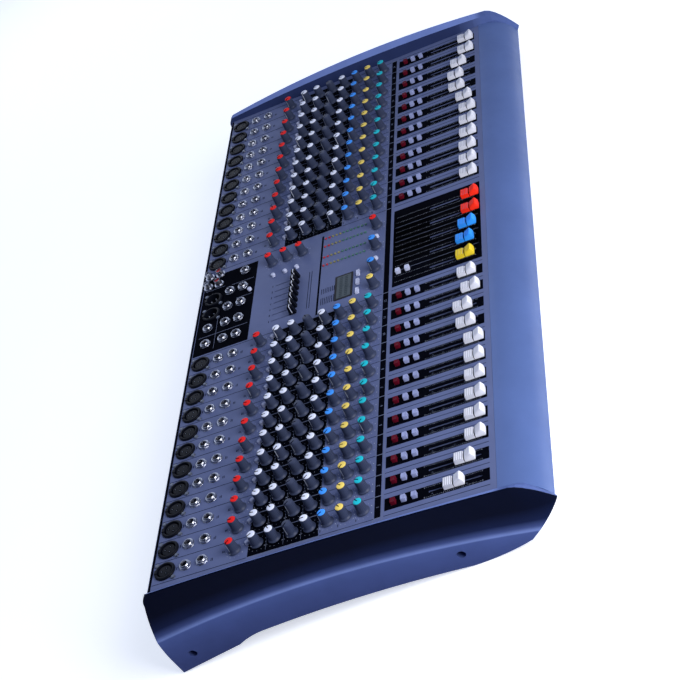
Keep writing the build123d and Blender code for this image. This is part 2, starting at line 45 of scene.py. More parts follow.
# ---------------------------------------------------------------- driving dimensions, mm
# Shapes are drawn in the panel's own frame: x along the console, y from the armrest to the
# connector edge, z up from the panel. TO_ROW then stands them on the CAD panel. A row is a
# distance from the connector edge, towards the armrest.
PITCH = 28.0
CHANNELS = 24
BANK = 12
MIDDLE_GAP = 5.6 * PITCH
PANEL_DEPTH = 357.0
HALF_DEPTH = PANEL_DEPTH / 2
HALF_WIDTH = ((CHANNELS - 1) * PITCH + MIDDLE_GAP) / 2 + 0.8 * PITCH

XLR_ROW = 16.8
JACK_ROWS = (38.9, 57.1)
GAIN_ROW = 92.7
LOW_CUT_ROW = 105.8
EQ_ROW = 116.4
KNOB_STEP = 18.3
EQ_ROWS = [EQ_ROW + KNOB_STEP * i for i in range(7)]
MUTE_ROW = 256.5
ASSIGN_ROWS = (266.9, 277.6)
CAP_STOP_ROW = 340.0
FADER_TRAVEL = 45.0
WINDOW = (247.2, 351.0)              # black fader window, rear and front rows
WINDOW_WIDTH = 15.6
STRIP = (237.2, 243.4)               # black channel number strip, rear and front rows
EQ_ZONE = (106.5, 180.6)             # black field under the equaliser knobs, rear and front rows
MASTER_FADER_X = (49.0, 21.0, -5.6, -32.2, -60.2)
MASTER_WINDOW = (-73.0, 69.0)
REAR_BLOCK = (-75.6, 70.0, 4.0, 73.0)  # black connector field: x, x, rear and front rows

RCA_SOCKETS = [(68.6, 9.8), (68.6, 23.8), (49.8, 9.8), (49.8, 23.8)]
XLR_OUTPUTS = [(21.6, 19.6), (-5.3, 19.6)]
MIDDLE_JACKS = ([(x, 57.1) for x in (59.4, 28.6, -0.4, -29.0, -58.0)]
                + [(x, 40.3) for x in (28.6, -0.4, -29.0, -58.0)]
                + [(x, 18.2) for x in (-30.0, -58.0)])
MASTER_RED = [(52.4, 93.8 + 19.6 * i) for i in range(3)] + [(52.4, 226.8)]
MASTER_BLUE = [(12.9, 226.8), (-28.6, 226.8)]
MASTER_YELLOW = [(-58.8, 226.8)]
SMALL_BUTTONS = ([(28.0, 96.6 + 15.0 * i) for i in range(3)]
                 + [(31.6, 226.8), (-9.8, 226.8), (16.8, 67.2)])
DISPLAY_BUTTONS = [(x, 205.8) for x in (-25.2, -41.0, -57.4)]
GROUP_BUTTONS = [(-49.0, 254.5), (-49.0, 265.4)]
GRAPHIC_SLIDERS_X = [-57.4 + 10.7 * i for i in range(7)]
GRAPHIC_ROW = 116.0
GRAPHIC_TRAVEL = 25.0
DISPLAY = (-39.8, 188.7, 41.7, 20.2)  # x, row, width and depth
METER_X = (12.6, 28.0, 49.0, 64.4)
METER_ROW = 161.0
METER_LIGHTS = 12
METER_STEP = 4.6
METER_BAR = (-75.0, 71.0, 158.4, 156.2)  # black line above the meters: x, x, front and rear rows
STRIP_MARGIN = 13.0                  # how far the middle number strip passes the middle gap
SOCKET_LINES = [                     # grey lines between the middle sockets: x, front and rear rows
    (43.0, 32.0, 6.0),
    (10.0, 70.0, 50.0),
    (-44.0, 70.0, 8.0),
    (40.0, 70.0, 42.0),
]
KEY_HOLE = (6.8, 5.6)                # opening left in the printing around a square key
INK = 0.12                           # how far the printing stands above the paint
MARK = INK + 0.04                    # light marks stand on top of the black printing,
FRAME_LINE = INK + 0.05              # and the grey frame lines a little above those


def channel_x(channel):
    extra = MIDDLE_GAP if channel >= BANK else 0.0
    return channel * PITCH + extra - ((CHANNELS - 1) * PITCH + MIDDLE_GAP) / 2


CHANNEL_X = [channel_x(i) for i in range(CHANNELS)]


def row_y(row):
    return HALF_DEPTH - row


# ---------------------------------------------------------------- the panel's frame, from joints
def joint(name):
    return next(j for j in frame["joints"] if j["name"] == name)


UP = Vector(joint("knob_gain_turn")["axis"]).normalized()
BACK = Vector(joint("fader_01_slide")["axis"]).normalized()
RIGHT = BACK.cross(UP).normalized()
GAIN_POINT = Vector(joint("knob_gain_turn")["pos_m"])
ORIGIN = GAIN_POINT - (RIGHT * CHANNEL_X[0] + BACK * row_y(GAIN_ROW)) / 1000
AXES = Matrix((RIGHT, BACK, UP)).transposed()
TO_ROW = Matrix.Translation(ORIGIN) @ AXES.to_4x4() @ Matrix.Scale(0.001, 4)


# ---------------------------------------------------------------- mesh building
class Shape:
    """A mesh under construction: points in mm in the panel's frame, faces and their material slots."""

    def __init__(self):
        self.points = []
        self.faces = []
        self.slots = []

    def add(self, points, faces, slot=0):
        start = len(self.points)
        self.points.extend(points)
        self.faces.extend([tuple(start + i for i in face) for face in faces])
        self.slots.extend([slot] * len(faces))

    def box(self, width, depth, bottom, top, x=0.0, y=0.0, slot=0):
        corners = [(x + i * width / 2, y + j * depth / 2, z)
                   for z in (bottom, top) for i, j in ((-1, -1), (1, -1), (1, 1), (-1, 1))]
        sides = [(i, (i + 1) % 4, 4 + (i + 1) % 4, 4 + i) for i in range(4)]
        self.add(corners, [(3, 2, 1, 0), (4, 5, 6, 7)] + sides, slot)

    def lathe(self, profile, steps=32, slot=0, ripple=None, x=0.0, y=0.0):
        """Turn (radius, z) points about the vertical at x, y. ripple(angle, z) scales the radius."""
        rings = []
        points = []
        for radius, z in profile:
            if radius == 0:
                rings.append([len(points)])
                points.append((x, y, z))
                continue
            rings.append(list(range(len(points), len(points) + steps)))
            for i in range(steps):
                angle = 2 * math.pi * i / steps
                r = radius * (ripple(angle, z) if ripple else 1.0)
                points.append((x + r * math.cos(angle), y + r * math.sin(angle), z))
        faces = []
        for low, high in zip(rings, rings[1:]):
            for i in range(steps):
                j = (i + 1) % steps
                if len(low) == 1:
                    faces.append((low[0], high[j], high[i]))
                elif len(high) == 1:
                    faces.append((low[i], low[j], high[0]))
                else:
                    faces.append((low[i], low[j], high[j], high[i]))
        self.add(points, faces, slot)

    def loft(self, sections, slot=0):
        """Skin a closed body through equal-length loops of points, with both ends capped."""
        count = len(sections[0])
        points = [p for section in sections for p in section]
        faces = []
        for k in range(len(sections) - 1):
            a = k * count
            b = a + count
            faces += [(a + i, a + (i + 1) % count, b + (i + 1) % count, b + i) for i in range(count)]
        faces.append(tuple(range(count - 1, -1, -1)))
        last = (len(sections) - 1) * count
        faces.append(tuple(last + i for i in range(count)))
        self.add(points, faces, slot)

    def merge(self, other, x=0.0, y=0.0, z=0.0, turn=0.0):
        """Add a copy of another shape, turned about its own vertical and moved."""
        c, s = math.cos(turn), math.sin(turn)
        start = len(self.points)
        self.points.extend([(x + c * px - s * py, y + s * px + c * py, z + pz)
                            for px, py, pz in other.points])
        self.faces.extend([tuple(start + i for i in face) for face in other.faces])
        self.slots.extend(other.slots)


def spread(shape, places, turns=None):
    """One shape holding copies at (x, row) places."""
    out = Shape()
    for i, (x, row) in enumerate(places):
        out.merge(shape, x, row_y(row), turn=turns[i] if turns else 0.0)
    return out


def finish_mesh(mesh, sharp_degrees):
    """Point the faces outward and shade smooth, except across edges sharper than the given angle."""
    bm = bmesh.new()
    bm.from_mesh(mesh)
    bmesh.ops.remove_doubles(bm, verts=bm.verts, dist=1e-7)
    bmesh.ops.recalc_face_normals(bm, faces=bm.faces)
    limit = math.radians(sharp_degrees)
    for face in bm.faces:
        face.smooth = True
    for edge in bm.edges:
        if len(edge.link_faces) == 2:
            edge.smooth = edge.calc_face_angle(0.0) < limit
    bm.to_mesh(mesh)
    bm.free()


def piece(name, shape, body, materials, replaces=(), sharp=32.0):
    """Turn a Shape into an object that stands on the CAD panel and rides on a body."""
    mesh = bpy.data.meshes.new(name)
    mesh.from_pydata(shape.points, [], shape.faces)
    for material in materials:
        mesh.materials.append(material)
    mesh.polygons.foreach_set("material_index", shape.slots)
    mesh.transform(TO_ROW)
    finish_mesh(mesh, sharp)
    obj = bpy.data.objects.new(name, mesh)
    bpy.context.scene.collection.objects.link(obj)
    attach(obj, body)
    if replaces:
        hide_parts(*replaces)
    return obj


# ---------------------------------------------------------------- materials
def new_material(name):
    """Material with its nodes, links and main shader."""
    material = bpy.data.materials.new(name)
    material.use_nodes = True
    nodes = material.node_tree.nodes
    shader = next(n for n in nodes if n.type == "BSDF_PRINCIPLED")
    return material, nodes, material.node_tree.links, shader


def noise(nodes, links, scale, detail=4.0, roughness=0.55):
    """Noise in the object's own metres; scale is features per metre."""
    place = nodes.new("ShaderNodeTexCoord")
    texture = nodes.new("ShaderNodeTexNoise")
    texture.inputs["Scale"].default_value = scale
    texture.inputs["Detail"].default_value = detail
    texture.inputs["Roughness"].default_value = roughness
    links.new(place.outputs["Object"], texture.inputs["Vector"])
    return texture.outputs["Fac"]


def ramp(nodes, links, source, low, high, start=0.3, end=0.7):
    """Map a factor to a value or colour between low and high."""
    node = nodes.new("ShaderNodeValToRGB")
    node.color_ramp.elements[0].position = start
    node.color_ramp.elements[1].position = end
    node.color_ramp.elements[0].color = low
    node.color_ramp.elements[1].color = high
    links.new(source, node.inputs["Fac"])
    return node.outputs["Color"]


def grey(value):
    return (value, value, value, 1.0)


def shade(colour, factor):
    return tuple(min(1.0, c * factor) for c in colour) + (1.0,)


def bump(nodes, links, shader, height, strength, distance):
    node = nodes.new("ShaderNodeBump")
    node.inputs["Strength"].default_value = strength
    node.inputs["Distance"].default_value = distance
    links.new(height, node.inputs["Height"])
    links.new(node.outputs["Normal"], shader.inputs["Normal"])


def coating(name, colour, rough, metallic=0.0, grain=2600.0, grain_depth=0.00004, mottle=0.12,
            smudge=0.08, coat=0.0, index=1.3):
    """Paint or moulded plastic: mottled colour, smudged gloss and a fine surface grain."""
    material, nodes, links, shader = new_material(name)
    shader.inputs["Metallic"].default_value = metallic
    shader.inputs["IOR"].default_value = index
    broad = noise(nodes, links, 14.0, 6.0, 0.62)
    tint = ramp(nodes, links, broad, shade(colour, 1 - mottle), shade(colour, 1 + mottle))
    links.new(tint, shader.inputs["Base Color"])
    wiped = noise(nodes, links, 32.0, 5.0, 0.7)
    gloss = ramp(nodes, links, wiped, grey(rough - smudge), grey(rough + smudge))
    links.new(gloss, shader.inputs["Roughness"])
    shader.inputs["Coat Weight"].default_value = coat
    shader.inputs["Coat Roughness"].default_value = 0.12
    bump(nodes, links, shader, noise(nodes, links, grain, 2.0), 0.5, grain_depth)
    return material


def plated(name, colour, rough):
    """Bright plating with faint turning marks and handling haze."""
    material, nodes, links, shader = new_material(name)
    shader.inputs["Metallic"].default_value = 1.0
    haze = noise(nodes, links, 220.0, 5.0, 0.65)
    links.new(ramp(nodes, links, haze, shade(colour, 0.82), shade(colour, 1.05)),
              shader.inputs["Base Color"])
    links.new(ramp(nodes, links, haze, grey(rough * 0.6), grey(rough * 1.7)),
              shader.inputs["Roughness"])
    bump(nodes, links, shader, noise(nodes, links, 1800.0, 2.0), 0.25, 0.00002)
    return material


def lens(name, colour, glow=0.0):
    """Tinted translucent light cap."""
    material, nodes, links, shader = new_material(name)
    spots = noise(nodes, links, 900.0)
    links.new(ramp(nodes, links, spots, shade(colour, 0.75), shade(colour, 1.15)),
              shader.inputs["Base Color"])
    shader.inputs["Roughness"].default_value = 0.18
    shader.inputs["Coat Weight"].default_value = 0.6
    shader.inputs["Emission Color"].default_value = colour + (1.0,)
    shader.inputs["Emission Strength"].default_value = glow
    return material


RIDGE_CENTRE = (-12.0, -28.0 - 1040.0)   # centre and radius of the cheek's long ridge arc, mm
RIDGE_RADIUS = 1040.0
CHEEK_PAINTED_LIGHT = [                     # height above the ridge in mm, colour; painted light and shade: a blue foot painted darker lower down, a painted highlight along the ridge and painted shade on the bevel above it
    (-45.0, (0.030, 0.044, 0.140)),
    (-14.0, (0.042, 0.064, 0.195)),
    (-1.5, (0.052, 0.080, 0.235)),
    (0.5, (0.135, 0.190, 0.44)),
    (5.0, (0.040, 0.060, 0.180)),
    (12.0, (0.006, 0.011, 0.044)),
    (26.0, (0.0016, 0.003, 0.013)),
]
CHEEK_TOP_PAINTED_LIGHT = (0.155, 0.225, 0.54)     # painted light on the inner wall's upper band, where it faces up
CHEEK_WALL_PAINTED_SHADE = (0.022, 0.034, 0.105)   # painted shade on the inner wall's steep lower band
CHEEK_NOSE_PAINTED_LIGHT = (0.075, 0.115, 0.31)  # painted light on the inner wall beside the armrest
FRONT_FADE = 0.008                   # metres over which the painted light beside the armrest fades in


def height_above_ridge(nodes, links):
    """Distance from the ridge arc, in mm, worked out from the point's place in the row frame."""
    centre = TO_ROW @ Vector((0.0,) + RIDGE_CENTRE)
    place = nodes.new("ShaderNodeTexCoord")
    flat = nodes.new("ShaderNodeVectorMath")
    flat.operation = "MULTIPLY"
    flat.inputs[1].default_value = (0.0, 1.0, 1.0)
    links.new(place.outputs["Object"], flat.inputs[0])
    reach = nodes.new("ShaderNodeVectorMath")
    reach.operation = "DISTANCE"
    reach.inputs[1].default_value = (0.0, centre.y, centre.z)
    links.new(flat.outputs["Vector"], reach.inputs[0])
    return reach.outputs["Value"]


def surface_direction(nodes, links):
    """The outputs of the surface's direction, as X, Y and Z."""
    geometry = nodes.new("ShaderNodeNewGeometry")
    split = nodes.new("ShaderNodeSeparateXYZ")
    links.new(geometry.outputs["Normal"], split.inputs["Vector"])
    return split.outputs


def facing_middle(nodes, links):
    """1 where an end cheek faces the middle of the console, 0 on its outside."""
    place = nodes.new("ShaderNodeTexCoord")
    where = nodes.new("ShaderNodeSeparateXYZ")
    links.new(place.outputs["Object"], where.inputs["Vector"])
    product = nodes.new("ShaderNodeMath")
    product.operation = "MULTIPLY"
    links.new(where.outputs["X"], product.inputs[0])
    links.new(surface_direction(nodes, links)["X"], product.inputs[1])
    inward = nodes.new("ShaderNodeMath")
    inward.operation = "LESS_THAN"
    inward.inputs[1].default_value = -0.05
    links.new(product.outputs["Value"], inward.inputs[0])
    return inward.outputs["Value"]


def beside_armrest(nodes, links):
    """1 in front of the panel's front edge, 0 behind it, over a fade of FRONT_FADE metres."""
    place = nodes.new("ShaderNodeTexCoord")
    where = nodes.new("ShaderNodeSeparateXYZ")
    links.new(place.outputs["Object"], where.inputs["Vector"])
    front = (TO_ROW @ Vector((0.0, row_y(PANEL_DEPTH), 0.0))).y
    behind_front = nodes.new("ShaderNodeMath")
    behind_front.operation = "SUBTRACT"
    behind_front.inputs[1].default_value = front - 0.5
    links.new(where.outputs["Y"], behind_front.inputs[0])
    return ramp(nodes, links, behind_front.outputs["Value"], grey(1.0), grey(0.0),
                0.5 - FRONT_FADE, 0.5)


def blend(nodes, links, mode, factor, first, second):
    node = nodes.new("ShaderNodeMix")
    node.data_type = "RGBA"
    node.blend_type = mode
    for value, socket in ((factor, "Factor"), (first, "A"), (second, "B")):
        if isinstance(value, (float, tuple)):
            node.inputs[socket].default_value = value
        else:
            links.new(value, node.inputs[socket])
    return node.outputs["Result"]


def cheek_outside_painted_light(nodes, links):
    """The outside's colour: CHEEK_PAINTED_LIGHT by height above the ridge, painted light and shade
    with a painted highlight along the ridge.
    """
    lowest, highest = CHEEK_PAINTED_LIGHT[0][0], CHEEK_PAINTED_LIGHT[-1][0]
    span = nodes.new("ShaderNodeMapRange")
    span.inputs["From Min"].default_value = (RIDGE_RADIUS + lowest) / 1000
    span.inputs["From Max"].default_value = (RIDGE_RADIUS + highest) / 1000
    links.new(height_above_ridge(nodes, links), span.inputs["Value"])
    bands = nodes.new("ShaderNodeValToRGB")
    stops = bands.color_ramp.elements
    stops[0].color = CHEEK_PAINTED_LIGHT[0][1] + (1.0,)
    stops[1].color = CHEEK_PAINTED_LIGHT[-1][1] + (1.0,)
    for height, colour in CHEEK_PAINTED_LIGHT[1:-1]:
        stops.new((height - lowest) / (highest - lowest)).color = colour + (1.0,)
    links.new(span.outputs["Result"], bands.inputs["Fac"])
    return bands.outputs["Color"]


def cheek_inside_painted_light(nodes, links):
    """The inner wall's colour: painted light where it slopes, painted shade where it is steep, and the
    painted light of CHEEK_NOSE_PAINTED_LIGHT beside the armrest.
    """
    rise = surface_direction(nodes, links)["Z"]
    wall = ramp(nodes, links, rise, CHEEK_WALL_PAINTED_SHADE + (1.0,), CHEEK_TOP_PAINTED_LIGHT + (1.0,), 0.64, 0.76)
    return blend(nodes, links, "MIX", beside_armrest(nodes, links), wall, CHEEK_NOSE_PAINTED_LIGHT + (1.0,))


def cheek_plastic():
    """Moulded end cheek whose colour carries painted light and shade: painted shade on the bevel, a
    blue foot below a painted highlight along the ridge, and painted light on the inner top.
    """
    material = coating("cheek_plastic", (0.01, 0.015, 0.05), 0.36, grain=3200.0, index=1.07)
    nodes = material.node_tree.nodes
    links = material.node_tree.links
    shader = next(n for n in nodes if n.type == "BSDF_PRINCIPLED")
    inward = facing_middle(nodes, links)
    # the faces towards the middle take the inner wall's painted light, the outside its painted bands
    # by height
    sides = blend(nodes, links, "MIX", inward, cheek_outside_painted_light(nodes, links), cheek_inside_painted_light(nodes, links))
    cloud = ramp(nodes, links, noise(nodes, links, 30.0, 5.0), grey(0.86), grey(1.0))
    links.new(blend(nodes, links, "MULTIPLY", 1.0, sides, cloud), shader.inputs["Base Color"])
    return material


PANEL_PAINT = coating("panel_paint", (0.092, 0.118, 0.25), 0.46, 0.02, grain=1900.0,
                      grain_depth=0.00006, mottle=0.09, index=1.2)
INK_BLACK = coating("ink_black", (0.0012, 0.0016, 0.004), 0.6, mottle=0.2, index=1.04)
INK_DARK = coating("ink_dark", (0.008, 0.011, 0.026), 0.6, mottle=0.2, index=1.04)
INK_LIGHT = coating("ink_light", (0.34, 0.38, 0.50), 0.55, index=1.1)
INK_GREY = coating("ink_grey", (0.13, 0.155, 0.25), 0.55, index=1.1)
CHEEK_PLASTIC_PAINTED_LIGHT = cheek_plastic()
ARMREST_PAINT = coating("armrest_paint", (0.074, 0.122, 0.31), 0.40, 0.1, grain=2200.0,
                        grain_depth=0.00003, mottle=0.07, coat=0.06)
TRAY_PAINT = coating("tray_paint", (0.014, 0.018, 0.034), 0.5, 0.2)
KNOB_BODY = coating("knob_body", (0.034, 0.045, 0.092), 0.42, grain=4200.0)
SOCKET_BLACK = coating("socket_black", (0.0022, 0.003, 0.007), 0.4, grain=4200.0, index=1.2)
# near black: painted shade over the microphone inputs' contact holes, and the floor of each jack's
# bore and the jack body below the panel
CAVITY_BLACK = coating("cavity_black", (0.0008, 0.0008, 0.0012), 0.9, index=1.02)
BUTTON_WHITE = coating("button_white", (0.44, 0.48, 0.68), 0.4)
BUTTON_GREY = coating("button_grey", (0.25, 0.29, 0.52), 0.4)
BUTTON_MUTE = coating("button_mute", (0.085, 0.003, 0.012), 0.5, index=1.15)
FADER_GROOVE_PAINTED_SHADE = coating("fader_groove_painted_shade", (0.16, 0.18, 0.27), 0.6, index=1.1)
RED_CAP = coating("red_cap", (0.70, 0.016, 0.016), 0.5, index=1.15)
WHITE_CAP = coating("white_cap", (0.66, 0.71, 0.88), 0.5, index=1.15)
BLUE_CAP = coating("blue_cap", (0.045, 0.27, 0.86), 0.5, index=1.15)
YELLOW_CAP = coating("yellow_cap", (0.72, 0.56, 0.13), 0.5, index=1.15)
CYAN_CAP = coating("cyan_cap", (0.012, 0.43, 0.55), 0.5, index=1.15)
FADER_WHITE = coating("fader_white", (0.66, 0.68, 0.78), 0.45, grain=3800.0, mottle=0.08, index=1.2)
FADER_RED = coating("fader_red", (0.85, 0.028, 0.012), 0.45, grain=3800.0, index=1.2)
FADER_BLUE = coating("fader_blue", (0.03, 0.28, 0.92), 0.45, grain=3800.0, index=1.2)
FADER_YELLOW = coating("fader_yellow", (0.75, 0.57, 0.03), 0.45, grain=3800.0, index=1.2)
NICKEL = plated("nickel", (0.40, 0.42, 0.50), 0.26)
SCREW_STEEL = plated("screw_steel", (0.20, 0.22, 0.28), 0.34)
PHONO_RED = coating("phono_red", (0.50, 0.015, 0.02), 0.45)
PHONO_WHITE = coating("phono_white", (0.45, 0.50, 0.62), 0.45)
LIGHT_RED = lens("light_red", (0.30, 0.012, 0.03), 0.04)
LIGHT_YELLOW = lens("light_yellow", (0.17, 0.16, 0.07))
LIGHT_GREEN = lens("light_green", (0.035, 0.115, 0.10))
DISPLAY_GLASS = coating("display_glass", (0.052, 0.070, 0.088), 0.3, mottle=0.18, index=1.15)
DISPLAY_INK = coating("display_ink", (0.034, 0.046, 0.058), 0.4, index=1.1)
RUBBER = coating("rubber", (0.012, 0.012, 0.014), 0.75)
BOARD_GREEN = coating("board_green", (0.01, 0.10, 0.04), 0.45)


# ---------------------------------------------------------------- CAD nodes that keep their shape
def dress(node, material, bevel=0.0, bevel_angle=28.0):
    """Give a CAD node its material, with softened edges where the real one has them."""
    obj = frame["nodes"][node]
    obj.data.materials.clear()
    obj.data.materials.append(material)
    for polygon in obj.data.polygons:
        polygon.use_smooth = True
    if bevel:
        soft = obj.modifiers.new("soft_edges", "BEVEL")
        soft.width = bevel
        soft.segments = 3
        soft.limit_method = "ANGLE"
        soft.angle_limit = math.radians(bevel_angle)
        soft.harden_normals = True


def dress_chassis():
    dress("control_panel", PANEL_PAINT)
    dress("base_tray", TRAY_PAINT)
    dress("left_end_cheek", CHEEK_PLASTIC_PAINTED_LIGHT, 0.0008, 20.0)
    dress("right_end_cheek", CHEEK_PLASTIC_PAINTED_LIGHT, 0.0008, 20.0)
    dress("armrest", ARMREST_PAINT)
    dress("circuit_boards", BOARD_GREEN)
    dress("control_modules", SOCKET_BLACK)
    dress("mains_inlet", SOCKET_BLACK)
    dress("power_rocker", SOCKET_BLACK)
    dress("rubber_feet", RUBBER)
    dress("screws", SCREW_STEEL)


# ---------------------------------------------------------------- printing on the panel
def ink_rectangle(shape, x0, x1, front_row, rear_row, slot=0, height=INK):
    """Printed patch between two rows; rows count from the rear edge."""
    y0, y1 = row_y(front_row), row_y(rear_row)
    shape.box(x1 - x0, y1 - y0, -0.4, height, (x0 + x1) / 2, (y0 + y1) / 2, slot)


def ink_around_slot(shape, x0, x1, front_row, rear_row, holes):
    """Printed patch with square holes left open. holes are (x, row, width, depth), in row order."""
    edge = rear_row
    for x, row, width, depth in holes:
        ink_rectangle(shape, x0, x1, row - depth / 2, edge)
        ink_rectangle(shape, x0, x - width / 2, row + depth / 2, row - depth / 2)
        ink_rectangle(shape, x + width / 2, x1, row + depth / 2, row - depth / 2)
        edge = row + depth / 2
    ink_rectangle(shape, x0, x1, front_row, edge)


SLOT_HOLE = (2.4, FADER_TRAVEL + 7.0)
FADER_MID_ROW = CAP_STOP_ROW - FADER_TRAVEL / 2


def ink_around_circle(shape, x, row, radius, half, steps=32):
    """Square printed patch with a round hole, as a closed ring."""
    loops = []
    for i in range(steps):
        angle = 2 * math.pi * i / steps
        c, s = math.cos(angle), math.sin(angle)
        reach = half / max(abs(c), abs(s))
        y = row_y(row)
        loops.append([(x + radius * c, y + radius * s, -0.4), (x + radius * c, y + radius * s, INK),
                      (x + reach * c, y + reach * s, INK), (x + reach * c, y + reach * s, -0.4)])
    points = [p for loop in loops for p in loop]
    faces = []
    for i in range(steps):
        a, b = 4 * i, 4 * ((i + 1) % steps)
        faces += [(a + k, a + (k + 1) % 4, b + (k + 1) % 4, b + k) for k in range(4)]
    shape.add(points, faces)


def connector_field(shape):
    """Black field behind the middle section's sockets, open round the two big outputs."""
    x0, x1, rear, front = REAR_BLOCK
    half = 9.4
    row = XLR_OUTPUTS[0][1]
    ink_rectangle(shape, x0, x1, row - half, rear)
    ink_rectangle(shape, x0, x1, front, row + half)
    edge = x0
    for x, _ in sorted(XLR_OUTPUTS):
        ink_rectangle(shape, edge, x - half, row + half, row - half)
        ink_around_circle(shape, x, row, 9.0, half)
        edge = x + half
    ink_rectangle(shape, edge, x1, row + half, row - half)


def channel_window(shape, x):
    half = WINDOW_WIDTH / 2
    holes = [(x, row) + KEY_HOLE for row in (MUTE_ROW,) + ASSIGN_ROWS]
    holes.append((x, FADER_MID_ROW) + SLOT_HOLE)
    ink_around_slot(shape, x - half, x + half, WINDOW[1], WINDOW[0], holes)


def master_windows(shape):
    """One black field, cut into a strip for each master fader so that its slot stays open."""
    low, high = MASTER_WINDOW
    cuts = sorted(MASTER_FADER_X)
    edges = [low] + [(a + b) / 2 for a, b in zip(cuts, cuts[1:])] + [high]
    for x, x0, x1 in zip(cuts, edges, edges[1:]):
        holes = [(x, FADER_MID_ROW) + SLOT_HOLE]
        inside = [b for b in GROUP_BUTTONS if x0 < b[0] < x1]
        keys = [b + KEY_HOLE for b in inside]
        ink_around_slot(shape, x0, x1, WINDOW[1], WINDOW[0], keys + holes)


def printed_fields():
    shape = Shape()
    for x in CHANNEL_X:
        channel_window(shape, x)
        ink_rectangle(shape, x - PITCH / 2 + 0.5, x + PITCH / 2 - 0.5, EQ_ZONE[1], EQ_ZONE[0])
        ink_rectangle(shape, x - PITCH / 2 + 0.4, x + PITCH / 2 - 0.4, STRIP[1], STRIP[0])
    master_windows(shape)
    reach = MIDDLE_GAP / 2 + STRIP_MARGIN
    ink_rectangle(shape, -reach, reach, STRIP[1], STRIP[0])
    connector_field(shape)
    ink_rectangle(shape, -HALF_WIDTH + 1, HALF_WIDTH - 1, 3.2, 0.6)
    ink_rectangle(shape, *METER_BAR)
    piece("printed_fields", shape, "chassis", [INK_BLACK])


def strip_edges():
    """Where one channel strip ends and the next begins."""
    return [x + PITCH / 2 for x in CHANNEL_X] + [CHANNEL_X[0] - PITCH / 2, CHANNEL_X[BANK] - PITCH / 2]


def caption(shape, x, row, lines, width):
    """A block of unreadable small print: short dashes in one or two lines."""
    for line in range(lines):
        start = x - width / 2
        while start < x + width / 2 - 0.4:
            length = random.uniform(0.5, 1.1)
            shape.box(length, 0.8, -0.3, INK, start + length / 2, row_y(row + 1.5 * line))
            start += length + 0.3


def middle_captions(shape):
    """Lines in front of the graphic levers, a mark behind each, and a list behind the display."""
    for row in (144.0, 147.0):
        ink_rectangle(shape, -57.0, 10.0, row + 0.3, row - 0.3)
    for i in range(9):
        caption(shape, -54.0, 161.5 + 2.2 * i, 1, 12.0)
        caption(shape, -36.0, 161.5 + 2.2 * i, 1, 9.0)
    for x in GRAPHIC_SLIDERS_X:
        caption(shape, x, 97.5, 1, 3.0)


def printed_dark_lines():
    """Dark lines between strips, and the captions of the channels and the middle section."""
    shape = Shape()
    for x in strip_edges():
        ink_rectangle(shape, x - 0.3, x + 0.3, EQ_ZONE[0] - 1, 4.0)
        ink_rectangle(shape, x - 0.3, x + 0.3, STRIP[0] - 1, EQ_ZONE[1] + 1)
        ink_rectangle(shape, x - 0.3, x + 0.3, WINDOW[1], 246.6)
    for x in CHANNEL_X:
        caption(shape, x - 2.0, 67.0, 2, 3.6)
        caption(shape, x + 3.0, 79.0, 2, 2.8)
        caption(shape, x, 29.5, 1, 4.0)
        for row in EQ_ROWS[4:]:
            caption(shape, x - 8.5, row - 7.5, 1, 3.4)
    middle_captions(shape)
    piece("printed_captions", shape, "chassis", [INK_DARK])


def fader_scale(shape, x, distance, rear_row):
    """Rows of tick marks both sides of a fader slot, longer at every fifth."""
    step = 1.9
    front_row = CAP_STOP_ROW + 4
    for i in range(int((front_row - rear_row) / step)):
        width = 1.5 if i % 5 == 0 else 0.7
        for side in (-1, 1):
            shape.box(width, 0.32, 0.0, MARK, x + side * distance, row_y(front_row - step * i))


def knob_scale(shape, x, row):
    """Dots on a wide arc around a knob, larger at its middle and both ends."""
    for i in range(11):
        angle = math.radians(240 - 30 * i)
        radius = 9.3
        size = 0.75 if i in (0, 5, 10) else 0.45
        shape.box(size, size, 0.0, MARK, x + radius * math.cos(angle),
                  row_y(row) + radius * math.sin(angle))


def printed_marks():
    shape = Shape()
    for x in CHANNEL_X:
        fader_scale(shape, x, 6.2, 284.0)
        for row in [GAIN_ROW] + EQ_ROWS:
            knob_scale(shape, x, row)
    for x in MASTER_FADER_X:
        fader_scale(shape, x, 5.0, 249.0)
    for x, row in MASTER_RED + MASTER_BLUE + MASTER_YELLOW:
        knob_scale(shape, x, row)
    piece("printed_marks", shape, "chassis", [INK_LIGHT])


def printed_grey_lines():
    """Fine grey lines that frame the black fields."""
    shape = Shape()
    for x in strip_edges():
        ink_rectangle(shape, x - 0.25, x + 0.25, EQ_ZONE[1], EQ_ZONE[0], height=FRAME_LINE)
        ink_rectangle(shape, x - 0.4, x + 0.4, STRIP[1] + 0.6, STRIP[0] - 0.6, height=FRAME_LINE)
    for x in CHANNEL_X:
        for row in EQ_ROWS[:4]:
            ink_rectangle(shape, x - 11.0, x + 11.0, row + 9.3, row + 9.05, height=FRAME_LINE)
    ink_rectangle(shape, -HALF_WIDTH + 2, HALF_WIDTH - 2, 245.3, 244.9)
    ink_rectangle(shape, -HALF_WIDTH + 2, HALF_WIDTH - 2, 235.9, 235.6)
    edges = sorted(MASTER_FADER_X)
    for a, b in zip(edges, edges[1:]):
        middle = (a + b) / 2
        front, rear = WINDOW[1] - 3, WINDOW[0] + 2
        ink_rectangle(shape, middle - 0.2, middle + 0.2, front, rear, height=FRAME_LINE)
    for x, front, rear in SOCKET_LINES:
        ink_rectangle(shape, x - 0.3, x + 0.3, front, rear, height=FRAME_LINE)
    ink_rectangle(shape, -70.0, -16.0, 29.6, 29.2, height=FRAME_LINE)
    piece("printed_frames", shape, "chassis", [INK_GREY])


